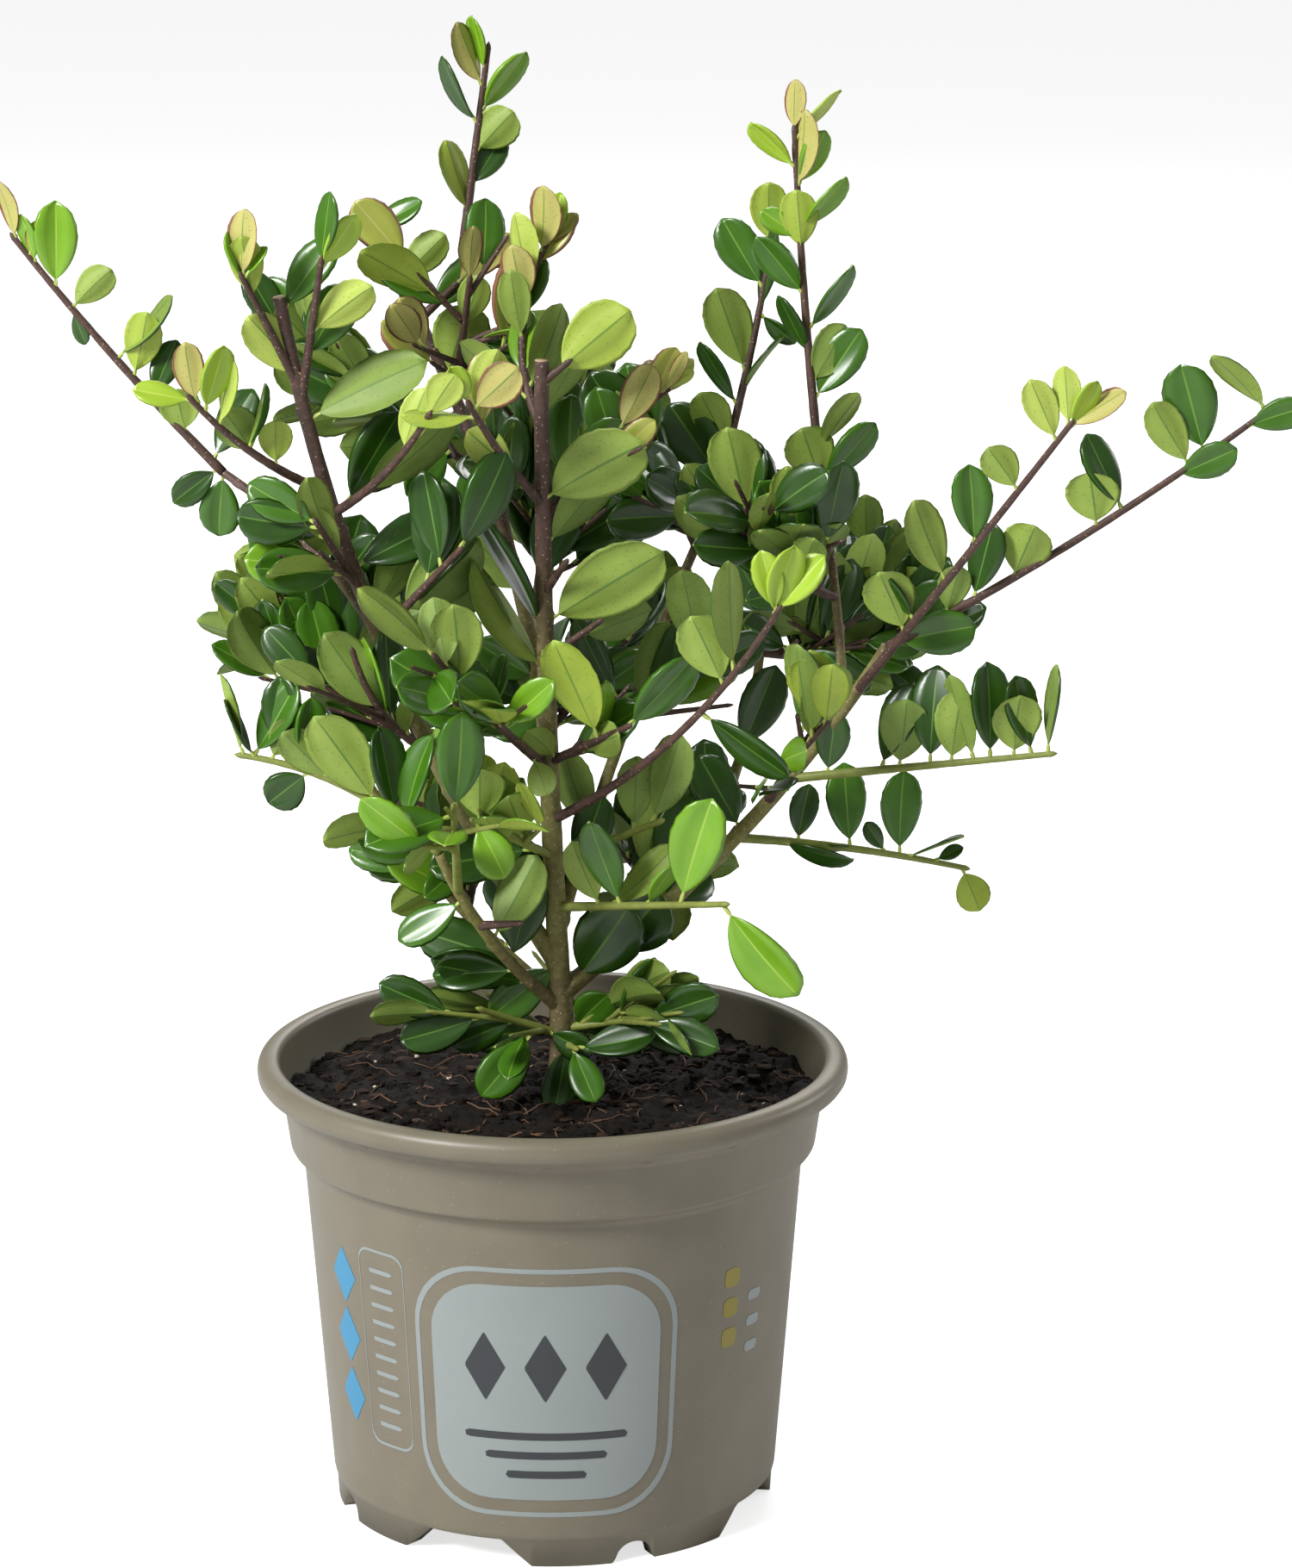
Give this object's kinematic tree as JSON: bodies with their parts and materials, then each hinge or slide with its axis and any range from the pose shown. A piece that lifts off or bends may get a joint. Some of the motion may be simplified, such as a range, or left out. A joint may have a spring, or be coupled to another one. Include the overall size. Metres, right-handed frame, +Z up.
{
  "type": "potted evergreen shrub",
  "caption": "Small evergreen shrub with oval glossy leaves on open, upright woody stems, growing in soil in a round tapered plastic pot.",
  "frame": {"origin": "middle of the whole plant's box in plan, on the surface that the pot stands on", "axes": "+Z up along the pot's axis; -Y is the front, +X is to the right seen from the front"},
  "size_m": [0.2732, 0.141, 0.3276],
  "materials": {
    "pot": "satin moulded plastic, grey-brown",
    "soil": "moist crumbly peat, matt",
    "bark": "fine bark, dull",
    "leaf": "leathery leaves, glossy above and dull below"
  },
  "bodies": {
    "root": {"pot": "pot", "soil": "soil", "trunk": "bark", "bough_left": "bark", "bough_back": "bark", "bough_right": "bark", "bough_mid": "bark", "bough_low_left": "bark", "bough_rear": "bark", "bough_rear_left": "bark", "bough_rear_right": "bark", "bough_upright": "bark", "bough_far_left": "bark", "bough_top": "bark", "foliage_far_left": "leaf", "foliage_left_upper": "leaf", "foliage_left_mid": "leaf", "foliage_left_outer": "leaf", "foliage_left_inner": "leaf", "foliage_left_shoulder": "leaf", "foliage_left_heart": "leaf", "foliage_left_side": "leaf", "foliage_left_depth": "leaf", "foliage_back_crest": "leaf", "foliage_back_side": "leaf", "foliage_back_outer": "leaf", "foliage_top": "leaf", "foliage_crest": "leaf", "foliage_cap": "leaf", "foliage_front_upper": "leaf", "foliage_right_small": "leaf", "foliage_spur_high": "leaf", "foliage_spur_mid": "leaf", "foliage_front_left": "leaf", "foliage_stub_right": "leaf", "foliage_front_right": "leaf", "foliage_front_left_low": "leaf", "foliage_front_low_right": "leaf", "foliage_base_left": "leaf", "foliage_base_right": "leaf", "foliage_base_front": "leaf", "foliage_mid_top": "leaf", "foliage_mid_side": "leaf", "foliage_mid_front": "leaf", "foliage_mid_low": "leaf", "foliage_upright": "leaf", "foliage_right_inner": "leaf", "foliage_right_high": "leaf", "foliage_right_far": "leaf", "foliage_right_front": "leaf", "foliage_low_right": "leaf", "foliage_lowest_right": "leaf", "foliage_left_big": "leaf", "foliage_left_low": "leaf", "foliage_right_low": "leaf", "foliage_left_lowest": "leaf", "foliage_rear_tip": "leaf", "foliage_rear_side": "leaf", "foliage_rear_left_tip": "leaf", "foliage_rear_right_tip": "leaf"}
  },
  "joints": []
}
